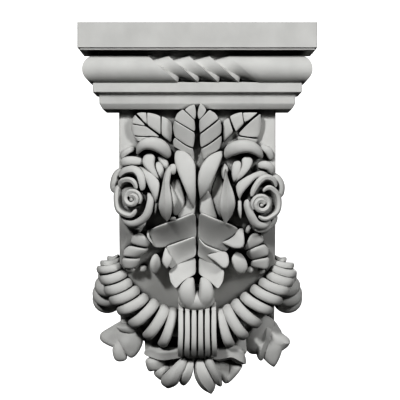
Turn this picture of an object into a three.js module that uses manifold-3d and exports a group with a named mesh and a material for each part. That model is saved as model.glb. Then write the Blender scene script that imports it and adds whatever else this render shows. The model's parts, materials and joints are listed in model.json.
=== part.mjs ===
// A cast wall corbel: a bracket under a moulded cap, carved with leaves, two roses and a wound swag.
// Millimetres, +Z up. The flat back lies in the plane y = 0 and the front faces -Y.
// The origin is the centre of the back of the cap and bracket, where the corbel meets its wall.
import * as THREE from "three";
import { mergeVertices } from "three/addons/utils/BufferGeometryUtils.js";
import Module from "manifold-3d";

// Driving dimensions of the bracket under the cap.
const bodyWidth = 158;
const bodyDepth = 150;
const bodyHeight = 234;
const bodyArris = 1.5;

// Driving dimensions of the cap, from its top down. Each reach is how far a member stands out past the
// bracket, and coveKnee is the share of the cove's height at which it turns down.
const slabHeight = 25.5;
const slabReach = 41;
const lipHeight = 2.5;
const lipReach = 39;
const quirkHeight = 4.5;
const quirkReach = 21;
const rollRadius = 14;
const rollReach = 36.5;
const rollSides = 12;
const tableHeight = 9.5;
const tableReach = 26;
const coveHeight = 5.5;
const coveKnee = 0.35;
const neckingReach = 19.5;
const neckingHeight = 5.5;
const neckingFall = 6;
const neckingFoot = 16;

// The twisted middle of the roll: its cuts, their pitch and depth, how far each leans, where the first
// starts, and the short run in which the plain roll drops into it.
const twistCuts = 4;
const twistPitch = 20.4;
const twistDepth = 5.5;
const twistLean = 10;
const twistStart = -30;
const twistEase = 0.4;

// The wound swag: turns on each arm and flank, how many degrees an arm's turns lean, and the ribs of its
// tie.
const turnsPerArm = 11;
const turnsPerFlank = 7;
const armLean = 8;
const tieRibs = 6;
const tiePitch = 6.8;

// Depth of the tie's band, and of the flutes between its ribs.
const tieBand = 20;
const tieFlute = 3;

// The carving is drawn on a grid of squares laid over the bracket: this many across, down and out from
// the wall.
const squaresAcross = 158;
const squaresDown = 234;
const squaresOut = 150;

// How far carved forms are sunk into the bracket, and how much narrower their stems are than their faces.
const seat = 4;
const stemShare = 0.82;

const mouldingHeight = tableHeight + coveHeight + neckingHeight + neckingFall;
const capHeight = slabHeight + lipHeight + quirkHeight + 2 * rollRadius + mouldingHeight;
const topZ = (capHeight + bodyHeight) / 2;
const bodyTop = topZ - capHeight;

// Front of the bracket from top to foot, as squares down and squares out.
const frontLine = [
  [0, 150],
  [45, 151],
  [85, 151],
  [112, 146],
  [135, 132],
  [160, 113],
  [185, 97],
  [205, 84],
  [220, 64],
  [230, 34],
  [234, 0],
];

const wasm = await Module();
wasm.setup();

const alongX = (squares) => (squares * bodyWidth) / squaresAcross;
const alongY = (squares) => (-squares * bodyDepth) / squaresOut;
const alongZ = (squares) => bodyTop - (squares * bodyHeight) / squaresDown;
const place = (across, down, out) => new THREE.Vector3(alongX(across), alongY(out), alongZ(down));

// Depth of the bracket's front, in squares, at a height given in squares down.
function frontAt(down) {
  const row = frontLine.findIndex(([d]) => d > down);
  if (row === 0) return frontLine[0][1];
  if (row < 0) return 0;
  const [[d0, out0], [d1, out1]] = [frontLine[row - 1], frontLine[row]];
  return out0 + ((out1 - out0) * (down - d0)) / (d1 - d0);
}

// The value at t, from 0 to 1, of a smooth curve through evenly spaced values. A plain number stays as it
// is.
function through(values, t) {
  if (typeof values === "number") return values;
  const last = values.length - 1;
  const at = Math.min(Math.floor(t * last), last - 1);
  const f = t * last - at;
  const [b, c] = [values[at], values[at + 1]];
  const a = at > 0 ? values[at - 1] : 2 * b - c;
  const d = at + 2 <= last ? values[at + 2] : 2 * c - b;
  return b + 0.5 * f * (c - a + f * (2 * a - 5 * b + 4 * c - d + f * (3 * (b - c) + d - a)));
}

function solidOf(positions, indices) {
  const made = new THREE.BufferGeometry();
  made.setAttribute("position", new THREE.Float32BufferAttribute(positions, 3));
  made.setIndex(indices);
  const merged = mergeVertices(made, 1e-4);
  const mesh = new wasm.Mesh({
    numProp: 3,
    vertProperties: merged.attributes.position.array,
    triVerts: new Uint32Array(merged.index.array),
  });
  return new wasm.Manifold(mesh);
}

// The solid of a geometry made by one of the standard shapes.
function solidFrom(made) {
  made.deleteAttribute("normal");
  made.deleteAttribute("uv");
  const merged = mergeVertices(made, 1e-4);
  return solidOf(Array.from(merged.attributes.position.array), Array.from(merged.index.array));
}

// Closes a row of rings, each with the same number of points, with a pole at either end.
function skin(rings, start, end) {
  const count = rings[0].length;
  const points = [start, ...rings.flat(), end];
  const indices = [];
  for (let k = 0; k < count; k++) {
    const next = (k + 1) % count;
    indices.push(0, 1 + next, 1 + k);
    for (let r = 0; r < rings.length - 1; r++) {
      const [low, high] = [1 + r * count, 1 + (r + 1) * count];
      indices.push(low + k, low + next, high + next, low + k, high + next, high + k);
    }
    const lastRing = 1 + (rings.length - 1) * count;
    indices.push(points.length - 1, lastRing + k, lastRing + next);
  }
  const positions = points.flatMap((p) => [p.x, p.y, p.z]);
  const made = solidOf(positions, indices);
  if (made.volume() > 0) return made;
  for (let i = 0; i < indices.length; i += 3) [indices[i], indices[i + 1]] = [indices[i + 1], indices[i]];
  return solidOf(positions, indices);
}

const forward = new THREE.Vector3(0, -1, 0);
const curveOf = (points) => new THREE.CatmullRomCurve3(points, false, "catmullrom", 0.5);

// One ring across a carved form: a rounded face, and behind it either a rounded back or a stem into the
// bracket.
function ringAcross(centre, across, normal, half, face, shape) {
  const { back = face, square = 2, keel = 0, rooted = true, sides = 5 } = shape;
  const power = (value) => Math.sign(value) * Math.abs(value) ** (2 / square);
  const ring = [];
  for (let k = 0; k < sides; k++) {
    const angle = (Math.PI * k) / (sides - 1);
    const a = power(Math.cos(angle));
    const rise = face * power(Math.sin(angle)) + keel * (1 - Math.abs(a));
    ring.push(centre.clone().addScaledVector(across, half * a).addScaledVector(normal, rise));
  }
  if (rooted) {
    for (const side of [-1, 1]) {
      const foot = centre.clone().addScaledVector(across, side * half * stemShare);
      const down = ((bodyTop - foot.z) * squaresDown) / bodyHeight;
      foot.y = Math.max(foot.y + 1, Math.min(alongY(frontAt(down)) + seat, 0));
      ring.push(foot);
    }
    return ring;
  }
  for (let k = 1; k < sides - 1; k++) {
    const angle = Math.PI + (Math.PI * k) / (sides - 1);
    ring.push(
      centre
        .clone()
        .addScaledVector(across, half * power(Math.cos(angle)))
        .addScaledVector(normal, back * power(Math.sin(angle))),
    );
  }
  return ring;
}

// One stroke of the carving: a form laid along a curve. width is half its breadth and face its bulge,
// each a number or a row of values from end to end. blunt squares its ends, square its section, and keel
// lifts its middle.
function stroke(points, shape) {
  const { width, face, blunt = 2.5, rings = 4 } = shape;
  const curve = curveOf(points);
  const made = [];
  for (let j = 1; j < rings + 1; j++) {
    const swing = Math.cos((Math.PI * j) / (rings + 1));
    const t = (1 - swing) / 2;
    const end = (1 - Math.abs(swing) ** blunt) ** (1 / blunt);
    const tangent = curve.getTangent(t);
    const across = new THREE.Vector3().crossVectors(tangent, forward).normalize();
    const normal = new THREE.Vector3().crossVectors(across, tangent).normalize();
    made.push(
      ringAcross(curve.getPoint(t), across, normal, through(width, t) * end, through(face, t) * end, {
        ...shape,
        back: through(shape.back ?? face, t) * end,
        keel: (shape.keel ?? 0) * end,
      }),
    );
  }
  return skin(made, points[0], points[points.length - 1]);
}

// A pad of a leaf, between two edge curves that run from the midrib to the margin and past it by bulge.
// Its two ends are thinner than its middle.
function pad(edgeA, edgeB, shape) {
  const { face, rings = 3, bulge = 2, thinEnd = 0.6 } = shape;
  const curves = [curveOf(edgeA), curveOf(edgeB)];
  const middle = (t) => curves[0].getPoint(t).add(curves[1].getPoint(t)).multiplyScalar(0.5);
  const tangent = middle(1).sub(middle(0)).normalize();
  const made = [];
  for (let j = 0; j < rings; j++) {
    const t = j / (rings - 1);
    const [a, b] = curves.map((curve) => curve.getPoint(t));
    const across = b.clone().sub(a);
    const half = across.length() / 2;
    const normal = new THREE.Vector3().crossVectors(across, tangent).normalize();
    if (normal.y > 0) normal.negate();
    across.normalize();
    const end = j === 0 || j === rings - 1 ? thinEnd : 1;
    made.push(ringAcross(a.add(b).multiplyScalar(0.5), across, normal, half, face * end, shape));
  }
  return skin(made, middle(0), middle(1).addScaledVector(tangent, bulge));
}

// A leaf whose pads lie between veins that leave the midrib in pairs, each vein a place on the midrib
// from 0 to 1, a lean away from it in degrees, and a reach in squares.
function leaf(points, veins, shape) {
  const { sink = 0, gap = 0.6, rib = 1.1 } = shape;
  const curve = curveOf(points);
  const edge = (side, [at, lean, reach], shift) => {
    const along = curve.getTangentAt(at);
    const across = new THREE.Vector3().crossVectors(along, forward).normalize().multiplyScalar(side);
    const out = new THREE.Vector3().crossVectors(along, across).normalize();
    if (out.y > 0) out.negate();
    const angle = THREE.MathUtils.degToRad(lean);
    const way = along.clone().multiplyScalar(Math.cos(angle)).addScaledVector(across, Math.sin(angle));
    const apart = along.clone().multiplyScalar(Math.sin(angle)).addScaledVector(across, -Math.cos(angle));
    return [0, 0.5, 1].map((f) =>
      curve
        .getPointAt(at)
        .addScaledVector(across, rib)
        .addScaledVector(way, f * alongX(reach))
        .addScaledVector(apart, shift * gap)
        .addScaledVector(out, -sink * f * f),
    );
  };
  return [-1, 1].flatMap((side) => {
    const own = Array.isArray(veins[0][0]) ? veins[side < 0 ? 0 : 1] : veins;
    return own.slice(1).map((vein, i) => pad(edge(side, own[i], 1), edge(side, vein, -1), shape));
  });
}

function body() {
  const outline = new THREE.Shape();
  outline.moveTo(0, bodyTop + neckingFall);
  outline.lineTo(-alongY(frontLine[0][1]), bodyTop + neckingFall);
  for (const [down, out] of frontLine) outline.lineTo(-alongY(out), alongZ(down));
  const made = new THREE.ExtrudeGeometry(outline, {
    depth: bodyWidth - 2 * bodyArris,
    steps: 1,
    bevelSize: bodyArris,
    bevelOffset: -bodyArris,
    bevelThickness: bodyArris,
    bevelSegments: 1,
  });
  made.translate(0, 0, bodyArris - bodyWidth / 2);
  made.applyMatrix4(new THREE.Matrix4().set(0, 0, -1, 0, -1, 0, 0, 0, 0, 1, 0, 0, 0, 0, 0, 1));
  return solidFrom(made);
}

// The cap's square members, as one solid whose outline follows the wall, both sides and the front.
function cap() {
  let z = topZ;
  const rows = [[slabReach, z]];
  const member = (reach, drop) => {
    z -= drop;
    rows.push([reach, z]);
  };
  member(slabReach, slabHeight);
  member(lipReach, 0);
  member(lipReach, lipHeight);
  member(quirkReach, 0);
  member(quirkReach, quirkHeight + 2 * rollRadius - 1);
  member(tableReach, 0);
  member(tableReach, tableHeight + 1);
  member(neckingReach + 1, coveHeight * coveKnee);
  member(neckingReach, coveHeight * (1 - coveKnee));
  member(neckingReach, neckingHeight);
  member(neckingFoot, neckingFall);
  const rings = rows.map(([reach, height]) => {
    const [x, y] = [bodyWidth / 2 + reach, -(bodyDepth + reach)];
    return [
      [-x, 0],
      [-x, y],
      [x, y],
      [x, 0],
    ].map(([cornerX, cornerY]) => new THREE.Vector3(cornerX, cornerY, height));
  });
  const middle = (row) => new THREE.Vector3(0, -bodyDepth / 2, row[1]);
  return skin(rings, middle(rows[0]), middle(rows[rows.length - 1]));
}

// How deep the twist is cut at x: each cut drops at once and then climbs to the next.
function twistCut(x) {
  const turn = (x - twistStart) / twistPitch;
  if (turn < 0 || turn >= twistCuts) return 0;
  return twistDepth * (1 - (turn - Math.floor(turn)) ** 1.2);
}

// The roll runs round three sides under the slab as one closed tube, mitred at its corners.
function roll() {
  const centreZ = topZ - slabHeight - lipHeight - quirkHeight - rollRadius;
  const centreReach = rollReach - rollRadius;
  const [cornerX, cornerY] = [bodyWidth / 2 + centreReach, bodyDepth + centreReach];
  const ring = (make) =>
    Array.from({ length: rollSides }, (_, k) => {
      const angle = (2 * Math.PI * k) / rollSides;
      return make(Math.cos(angle), Math.sin(angle));
    });
  const end = (side) =>
    ring((c, s) => new THREE.Vector3(side * (cornerX + rollRadius * c), 0, centreZ + rollRadius * s));
  const corner = (side) =>
    ring((c, s) => {
      const out = rollRadius * c;
      return new THREE.Vector3(side * (cornerX + out), -(cornerY + out), centreZ + rollRadius * s);
    });
  const column = (x) =>
    ring((c, s) => {
      const front = THREE.MathUtils.smoothstep(c, -0.6, 0.2);
      const radius = rollRadius - front * twistCut(x);
      return new THREE.Vector3(x - front * twistLean * s, -(cornerY + radius * c), centreZ + radius * s);
    });
  const columns = [twistStart - twistEase];
  for (let i = 0; i < twistCuts; i++) {
    columns.push(twistStart + i * twistPitch + twistEase, twistStart + (i + 1) * twistPitch - twistEase);
  }
  const rings = [end(-1), corner(-1), ...columns.map(column), corner(1), end(1)];
  const pole = (side) => new THREE.Vector3(side * cornerX, 0, centreZ);
  return skin(rings, pole(-1), pole(1));
}

// The three leaves under the cap.
function topLeaves() {
  const made = leaf(
    [place(0.7, 54, 155), place(0.5, 38, 164), place(0, 15, 173), place(-1, -5, 176)],
    [
      [0.02, 53, 28],
      [0.26, 61, 25],
      [0.52, 58, 24],
      [0.73, 50, 14.5],
      [0.97, 24, 4],
    ],
    { face: 2.5, sink: 5, bulge: 3, square: 3, sides: 4 },
  );
  for (const side of [-1, 1]) {
    const veins = [
      [0.02, 66, 20],
      [0.33, 64, 18],
      [0.63, 62, 13],
      [0.96, 25, 4],
    ];
    const outer = [
      [0.08, 48, 27],
      [0.45, 50, 21],
      [0.75, 45, 13],
      [0.97, 20, 4],
    ];
    made.push(
      ...leaf(
        [place(side * 27, 36, 154), place(side * 44, 20, 160), place(side * 61, 3, 162)],
        side < 0 ? [veins, outer].reverse() : [veins, outer],
        { face: 2.5, sink: 4, bulge: 3, square: 3, sides: 4 },
      ),
    );
  }
  return made;
}

// Rolled petals, sepals and buds between the leaves and the roses, the same on both sides.
function petals() {
  const flat = { face: 3, rings: 3, sides: 4 };
  return [-1, 1].flatMap((side) => {
    const at = (across, down, out) => place(side * across, down, out);
    return [
      stroke([at(29, 47, 157), at(35, 38, 163), at(45.5, 34, 166), at(56, 35.5, 165), at(62, 42, 160)], {
        width: 6.5,
        face: 7,
        blunt: 4,
      }),
      stroke([at(61, 37, 158), at(71, 40, 158), at(77, 49, 152)], { width: 5, face: 5, rings: 3 }),
      stroke([at(57, 53, 158), at(69.5, 53, 160), at(76, 58, 154)], { width: 5.5, face: 6, rings: 3 }),
      stroke([at(41, 52, 158), at(39, 62, 162), at(36, 73, 158)], { ...flat, width: [5, 6, 2] }),
      stroke([at(50, 50, 160), at(46, 61, 165), at(37, 73, 160)], { ...flat, width: [6, 7.5, 2] }),
      stroke([at(22, 42, 158), at(14.5, 54, 169), at(9, 67, 174), at(6, 79, 170), at(3, 95, 160)], {
        width: [3, 9, 9, 5.5, 2],
        face: [3, 5, 5, 4, 3],
        blunt: 2,
        rings: 5,
      }),
      stroke([at(5, 82, 157), at(11, 97, 162), at(19, 112, 158)], { ...flat, width: [6, 9, 5], face: 4 }),
      stroke([at(26.5, 57, 158), at(29, 72, 166), at(30.5, 90, 172), at(29, 104, 166), at(29, 115, 158)], {
        width: [3.2, 3.6, 7.8, 6, 2.5],
        face: [3, 3, 5, 4, 3],
        keel: 3,
        blunt: 3,
        rings: 5,
      }),
      stroke([at(21, 64, 156), at(17, 84, 160), at(22, 105, 156)], { ...flat, width: [4, 6, 5] }),
      stroke([at(25, 106, 158), at(25, 115, 158)], { ...flat, width: 4, face: 5, rings: 2 }),
    ];
  });
}

// A rose: petals given as squares outwards from its eye and up from it, with the depth of each past the
// wall.
const rosePetals = [
  { line: [[11, 29, 150], [17, 22, 152], [18, 13, 153], [15, 6, 153]], width: [3, 4, 4, 3] },
  {
    line: [[-7, 33, 156], [-12, 29, 162], [-20, 18, 163], [-24, 6, 160], [-24, -6, 156]],
    width: [2, 5, 6.5, 4.5, 2],
  },
  { line: [[-24, 4, 156], [-24.5, -14, 154]], width: 3 },
  {
    line: [[-19, 7, 160], [-16.5, -1, 163], [-12, -11, 163], [-6, -19, 160], [1, -21, 157], [9, -18, 154]],
    width: 5,
  },
  {
    line: [[11, 20, 158], [4, 24, 162], [-4, 22, 165], [-8, 15, 165], [-9, 8, 163]],
    width: [4, 6, 6, 6, 4],
  },
  { line: [[12, 14, 160], [4, 15, 164], [-4, 12, 166], [-8, 7, 164]], width: [4, 5, 5, 3] },
  {
    line: [[12, 15, 158], [12.5, 3, 161], [9.5, -7, 163], [3, -12, 164], [-5, -10, 164]],
    width: [4, 5, 5, 5, 4],
  },
  { line: [[-7, 3, 168], [-3, 7.5, 170], [4, 6, 169], [7, 0, 167]], width: [3.5, 4.5, 4.5, 3] },
  { line: [[6, 4, 167], [5, -5, 169], [-2, -7, 170], [-6, -3, 169]], width: [3.5, 4.5, 4.5, 3] },
  { line: [[1, 3, 171], [0.5, -3, 171]], width: 3.5 },
];

function roses() {
  return [-1, 1].flatMap((side) => {
    const at = ([out, up, depth]) => place(side * (66 + out), (side < 0 ? 91 : 96) - up, depth - 0.3 * out);
    const bed = stroke([[-20, 0, 152], [14, 0, 152]].map(at), { width: 21, face: 8, rings: 3 });
    const petalShape = { face: 4, back: 8, rooted: false, blunt: 3, sides: 4 };
    const petalled = rosePetals.map(({ line, width }) => {
      return stroke(line.map(at), { ...petalShape, width, rings: Math.min(4, line.length) });
    });
    return [bed, ...petalled];
  });
}

// The long leaf down the front, which draws in and then curls out over the swag to a split tip.
function longLeaf() {
  const made = [];
  const lobeShape = { face: 2.5, square: 3, sides: 4 };
  const lobes = [
    [[[1, 104, 152], [24, 110, 146], [43, 119, 138]], [[2, 127, 138], [18, 135, 134], [43, 137, 134]], 6],
    [[[2, 129, 137], [17, 134, 133], [32, 141, 136]], [[2, 146, 128], [17, 152, 128], [30, 162, 138]], 4],
    [[[2, 149, 128], [17, 154, 130], [30, 163, 138]], [[1.5, 165, 126], [11, 171, 132], [22, 182, 142]], 5],
  ];
  for (const side of [-1, 1]) {
    const run = (edge) => edge.map(([across, down, out]) => place(side * across, down, out));
    made.push(...lobes.map(([upper, lower, bulge]) => pad(run(upper), run(lower), { ...lobeShape, bulge })));
    made.push(
      stroke(run([[5, 169, 130], [10, 180, 138], [10, 190, 138], [3, 202, 130]]), {
        width: [6, 9.3, 9.5, 6],
        face: [5, 9, 9, 6],
        blunt: 3,
      }),
    );
  }
  made.push(stroke([place(0, 178, 128), place(0, 201, 130)], { width: 8, face: 8 }));
  return made;
}

// The leaves behind the long leaf, above the swag.
function lowerLeaves() {
  return [-1, 1].flatMap((side) => {
    const at = (across, down, out) => place(side * across, down, out);
    const lobe = (points, width) => stroke(points, { width, face: 3.5, square: 3, rings: 3, sides: 4 });
    return [
      lobe([at(46, 131, 132), at(58, 127, 140), at(69, 126, 134)], [6, 8.5, 6]),
      lobe([at(46, 139, 126), at(61, 141, 134), at(77, 143, 126)], [5, 7, 5]),
      lobe([at(50, 150, 116), at(64, 153, 126), at(76, 152, 116)], [4, 6, 5]),
      lobe([at(45, 145, 122), at(42.5, 155, 128), at(41, 166, 122)], [4, 6, 3.5]),
      lobe([at(56, 154, 112), at(55, 161, 118), at(55, 167, 114)], [4, 5, 3.5]),
      lobe([at(61, 161, 112), at(68, 163, 116), at(75, 163, 108)], [3, 3.5, 2.5]),
      lobe([at(50, 119, 148), at(57, 121, 150)], 4),
    ];
  });
}

// A rope wound with broad turns: one form whose rings swell over each turn and draw in between turns, and
// lean back along the rope by `lean` degrees.
function wound(points, turns, radius, lean, sides) {
  const curve = curveOf(points);
  const swell = [0.84, 1];
  const turn = THREE.MathUtils.degToRad(lean);
  const rings = [];
  for (let i = 0; i < turns * swell.length; i++) {
    const t = (i + 0.5) / (turns * swell.length);
    const size = through(radius, t) * swell[i % swell.length];
    const way = curve.getTangentAt(t).applyAxisAngle(forward, turn);
    const across = new THREE.Vector3().crossVectors(way, forward).normalize();
    const normal = new THREE.Vector3().crossVectors(across, way).normalize();
    const ring = Array.from({ length: sides }, (_, k) => {
      const angle = (2 * Math.PI * (k + 0.5)) / sides;
      return curve
        .getPointAt(t)
        .addScaledVector(across, size * Math.cos(angle))
        .addScaledVector(normal, size * Math.sin(angle));
    });
    rings.push(ring);
  }
  return skin(rings, points[0], points[points.length - 1]);
}

// The tie that binds the swag's middle: a broad band with a rib for each pitch, spread a little below.
function tie() {
  const rows = [
    [0.9, 192, 116],
    [1, 204, 133],
    [1, 226, 138],
    [1.05, 243, 133],
    [1.08, 250, 116],
  ];
  const half = (tieRibs * tiePitch) / 2;
  const rings = rows.map(([spread, down, out]) => {
    const ring = [];
    for (let i = 0; i < tieRibs; i++) {
      const left = i * tiePitch - half;
      ring.push(place(left * spread, down, out - tieFlute));
      ring.push(place((left + tiePitch / 2) * spread, down, out));
    }
    ring.push(place(half * spread, down, out - tieFlute));
    return [...ring, place(half * spread, down, out - tieBand), place(-half * spread, down, out - tieBand)];
  });
  return skin(rings, place(0, 191, 108), place(0, 251, 108));
}

function swag() {
  const made = [];
  for (const side of [-1, 1]) {
    const at = (across, down, out) => place(side * across, down, out);
    const arm = [
      at(91, 150, 104),
      at(84, 172, 107),
      at(70, 193, 109),
      at(47, 212, 111),
      at(22, 223, 112),
      at(4, 226, 112),
    ];
    made.push(wound(arm, turnsPerArm, [11, 16, 18.5, 20, 20.5, 20], side * armLean, 7));
    const flank = [at(90, 163, 94), at(93, 184, 76), at(93, 194, 50), at(92, 184, 24), at(88, 166, 6)];
    made.push(wound(flank, turnsPerFlank, [11, 14.5, 15, 14.5, 11], 0, 6));
  }
  made.push(tie());
  return made;
}

// The leaves that hang below the swag, on a boss under the bracket.
function pendant() {
  const made = [
    stroke([place(0, 206, 84), place(0, 234, 92), place(0, 262, 78)], {
      width: [40, 42, 22],
      face: [22, 24, 12],
      back: [70, 70, 30],
      rooted: false,
      blunt: 3,
      rings: 5,
      sides: 6,
    }),
  ];
  for (const side of [-1, 1]) {
    const at = (across, down, out) => place(side * across, down, out);
    const fold = (points, width, keel = 4, sides = 5) =>
      stroke(points, { width, face: 4, back: 10, keel, rooted: false, rings: 3, sides });
    made.push(
      fold([at(4, 240, 104), at(14, 260, 108), at(20, 283, 96)], [6, 12.5, 8], 5),
      fold([at(12, 243, 104), at(32, 246, 106), at(53, 250, 92)], [5, 8, 5]),
      fold([at(16, 250, 98), at(34, 262, 98), at(45, 268, 88)], [8, 12, 8]),
      fold([at(22, 256, 92), at(34, 266, 92), at(30, 277, 84)], [6, 9, 5]),
    );
    const knot = [77, 230];
    const tips = [
      [97, 235],
      [83, 258],
      [65, 254],
      [53, 239],
      [78, 206],
    ];
    for (const [across, down] of tips) {
      const middle = [(across + knot[0]) / 2, (down + knot[1]) / 2];
      made.push(fold([at(...knot, 70), at(...middle, 78), at(across, down, 72)], [9, 9.5, 5], 4, 3));
    }
  }
  return made;
}

// Everything is one casting. What would stand behind the wall is cut off flat at y = 0.
function casting() {
  const plain = [body(), cap(), roll()];
  const carved = [topLeaves, petals, roses, longLeaf, lowerLeaves, swag, pendant].flatMap((make) => make());
  const whole = [...plain, ...carved].reduce((all, one) => all.add(one));
  const room = new THREE.BoxGeometry(4 * bodyWidth, 4 * bodyDepth, 4 * bodyHeight);
  room.translate(0, 2 * bodyDepth, 0);
  return whole.subtract(solidFrom(room));
}

// The casting as a geometry. Pockets closed in between its forms are filled, as plaster fills them: a
// pocket is a shell whose faces point inwards, which gives it a volume below zero. Every shell of plaster
// stays.
function withoutPockets(mesh) {
  const triangles = Array.from(mesh.triVerts);
  const corner = (i) => new THREE.Vector3().fromArray(mesh.vertProperties, 3 * i);
  const owner = Array.from({ length: mesh.vertProperties.length / 3 }, (_, i) => i);
  const find = (i) => {
    while (owner[i] !== i) i = owner[i] = owner[owner[i]];
    return i;
  };
  for (let i = 0; i < triangles.length; i += 3) {
    owner[find(triangles[i])] = find(triangles[i + 1]);
    owner[find(triangles[i])] = find(triangles[i + 2]);
  }
  const volumes = new Map();
  for (let i = 0; i < triangles.length; i += 3) {
    const [a, b, c] = triangles.slice(i, i + 3).map(corner);
    const shell = find(triangles[i]);
    volumes.set(shell, (volumes.get(shell) ?? 0) + a.dot(b.cross(c)) / 6);
  }
  const geometry = new THREE.BufferGeometry();
  geometry.setAttribute("position", new THREE.Float32BufferAttribute(Array.from(mesh.vertProperties), 3));
  geometry.setIndex(triangles.filter((_, i) => volumes.get(find(triangles[i - (i % 3)])) > 0));
  geometry.computeVertexNormals();
  return geometry;
}

const geometry = withoutPockets(casting().getMesh());
const plaster = new THREE.MeshStandardMaterial({ color: 0xcfcfcb, roughness: 0.85, metalness: 0 });
const corbel = new THREE.Mesh(geometry, plaster);
corbel.name = "corbel";

const part = new THREE.Group();
part.add(corbel);
export default part;
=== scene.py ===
"""A cast plaster wall corbel: a bracket under a moulded cap, carved with leaves, two roses and a wound swag.

Laid out as an add-on: the settings hold the sizes and colours that a user would change, each operator makes one group
of the carving as raw forms, and the casting operator fuses them into one plaster piece.
"""

import json
import math

import bmesh
import bpy
import numpy as np
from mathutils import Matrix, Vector

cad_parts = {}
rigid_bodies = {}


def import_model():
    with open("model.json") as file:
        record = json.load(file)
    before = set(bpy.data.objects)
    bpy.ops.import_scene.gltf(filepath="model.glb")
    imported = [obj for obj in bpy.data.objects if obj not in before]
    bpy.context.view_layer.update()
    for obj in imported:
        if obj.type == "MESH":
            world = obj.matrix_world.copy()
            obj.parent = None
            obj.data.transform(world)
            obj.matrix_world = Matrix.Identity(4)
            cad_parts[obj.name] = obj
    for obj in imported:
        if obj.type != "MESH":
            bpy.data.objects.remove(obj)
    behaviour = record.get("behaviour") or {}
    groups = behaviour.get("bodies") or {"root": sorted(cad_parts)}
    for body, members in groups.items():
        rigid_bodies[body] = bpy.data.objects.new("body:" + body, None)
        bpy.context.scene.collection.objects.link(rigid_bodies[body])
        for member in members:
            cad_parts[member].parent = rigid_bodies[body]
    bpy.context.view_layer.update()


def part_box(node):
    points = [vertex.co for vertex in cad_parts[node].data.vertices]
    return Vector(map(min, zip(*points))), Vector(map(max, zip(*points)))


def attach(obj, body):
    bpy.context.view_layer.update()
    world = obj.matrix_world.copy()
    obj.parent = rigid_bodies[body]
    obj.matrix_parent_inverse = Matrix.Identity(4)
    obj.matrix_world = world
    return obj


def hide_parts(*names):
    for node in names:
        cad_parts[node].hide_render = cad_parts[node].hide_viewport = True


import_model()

bl_info = {
    "name": "Plaster corbel",
    "version": (1, 0, 0),
    "blender": (4, 5, 0),
    "location": "View3D > Sidebar > Corbel",
    "description": "Makes a cast plaster corbel with roses, leaves and a wound swag",
    "category": "Add Mesh",
}

NODE = "corbel"
MILLIMETRE = 0.001
TINY = 1e-12
FORWARD = np.array((0.0, -1.0, 0.0))
LOW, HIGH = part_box(NODE)

# The carving's grid, in squares of the bracket's face: across, down from its top and out from the wall.
SQUARES_CAP = 240
SQUARES_TALL = 370
SQUARES_DEEP = 191
CAP_SQUARES = 87
SQUARE_X = (HIGH[0] - LOW[0]) / SQUARES_CAP
SQUARE_Y = (HIGH[1] - LOW[1]) / SQUARES_DEEP
SQUARE_Z = (HIGH[2] - LOW[2]) / SQUARES_TALL
BODY_TOP = HIGH[2] - CAP_SQUARES * SQUARE_Z
BODY_HALF = 79
BODY_DEEP = 150

# How deep in the bracket a rooted form's stem ends, and the stem's share of the form's breadth.
SEAT = 4
STEM = 0.84


def table(text):
    """Reads forms from rows of numbers: a semicolon ends a form, a slash parts its edges and sizes, a comma its points.
    Points are squares across and down, with the squares out where the form doesn't lie on a given surface."""

    def read(part, marks):
        if not marks:
            return [float(number) for number in part.split()]
        return [row[0] if len(row) == 1 else row for row in (read(piece, marks[1:]) for piece in part.split(marks[0]))]

    return [read(form, "/,") for form in text.split(";")[:-1]]


# Front of the bracket from top to foot, as squares down and squares out.
FRONT_LINE = table("0 150,45 151,85 151,112 146,135 132,160 113,185 97,205 84,220 64,230 34,234 0;")[0][0]


def at(across, down, out):
    """A point of the grid, in metres."""
    return np.array((across * SQUARE_X, -out * SQUARE_Y, BODY_TOP - down * SQUARE_Z))


def placed(rows, depth=None):
    """Grid points in metres, with the squares out from a depth function where a row doesn't give them."""
    return np.array([at(*row) if len(row) == 3 else at(*row, depth(*row)) for row in rows])


def blades(forms, pads, names, depth=None, **shape):
    """Lays a blade for each pad of a table: its two edges, and then the sizes that are called names."""
    for edge_a, edge_b, *sizes in pads:
        blade(forms, placed(edge_a, depth), placed(edge_b, depth), **dict(zip(names, sizes)), **shape)


def both(side, rows):
    """The grid points of one side's rows, with their distance across turned to that side."""
    return placed([(side * across, down, out) for across, down, out in rows])


def front_at(down):
    """How far the bracket's front stands out at a height, in squares."""
    downs, outs = zip(*FRONT_LINE)
    return np.interp(down, downs, outs, right=0.0)


def through(values, t):
    """Smooth curve through evenly spaced numbers or points, at each t from 0 to 1."""
    t = np.atleast_1d(np.asarray(t, float))
    values = np.asarray(values, float)
    if values.ndim == 0:
        return np.full(len(t), float(values))
    last = len(values) - 1
    first, final = 2 * values[0] - values[1], 2 * values[-1] - values[-2]
    padded = np.concatenate(([first], values, [final]))
    place = np.clip(t, 0, 1) * last
    index = np.minimum(place.astype(int), last - 1)
    f = place - index
    if values.ndim > 1:
        f = f[:, None]
    a, b, c, d = (padded[index + k] for k in range(4))
    return b + 0.5 * f * (c - a + f * (2 * a - 5 * b + 4 * c - d + f * (3 * (b - c) + d - a)))


def unit(vectors):
    length = np.linalg.norm(vectors, axis=-1, keepdims=True)
    return vectors / np.maximum(length, TINY)


def tangents(points, t):
    step = 1e-3
    ahead, behind = np.clip(t + step, 0, 1), np.clip(t - step, 0, 1)
    return unit(through(points, ahead) - through(points, behind))


def swings(rows):
    """Steps from 1 to -1 that close up towards both ends, and the same steps as shares of the way from 0 to 1."""
    swing = np.cos(np.pi * np.arange(1, rows + 1) / (rows + 1))
    return swing, (1 - swing) / 2


def power(value, square):
    """A circle's sine or cosine, squared up towards a box."""
    return np.sign(value) * np.abs(value) ** (2 / square)


def rounded(swing, blunt):
    """Share of the full size at a place between two ends: 1 in the middle, and falling to 0 at both."""
    return (1 - np.abs(swing) ** blunt) ** (1 / blunt)


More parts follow.
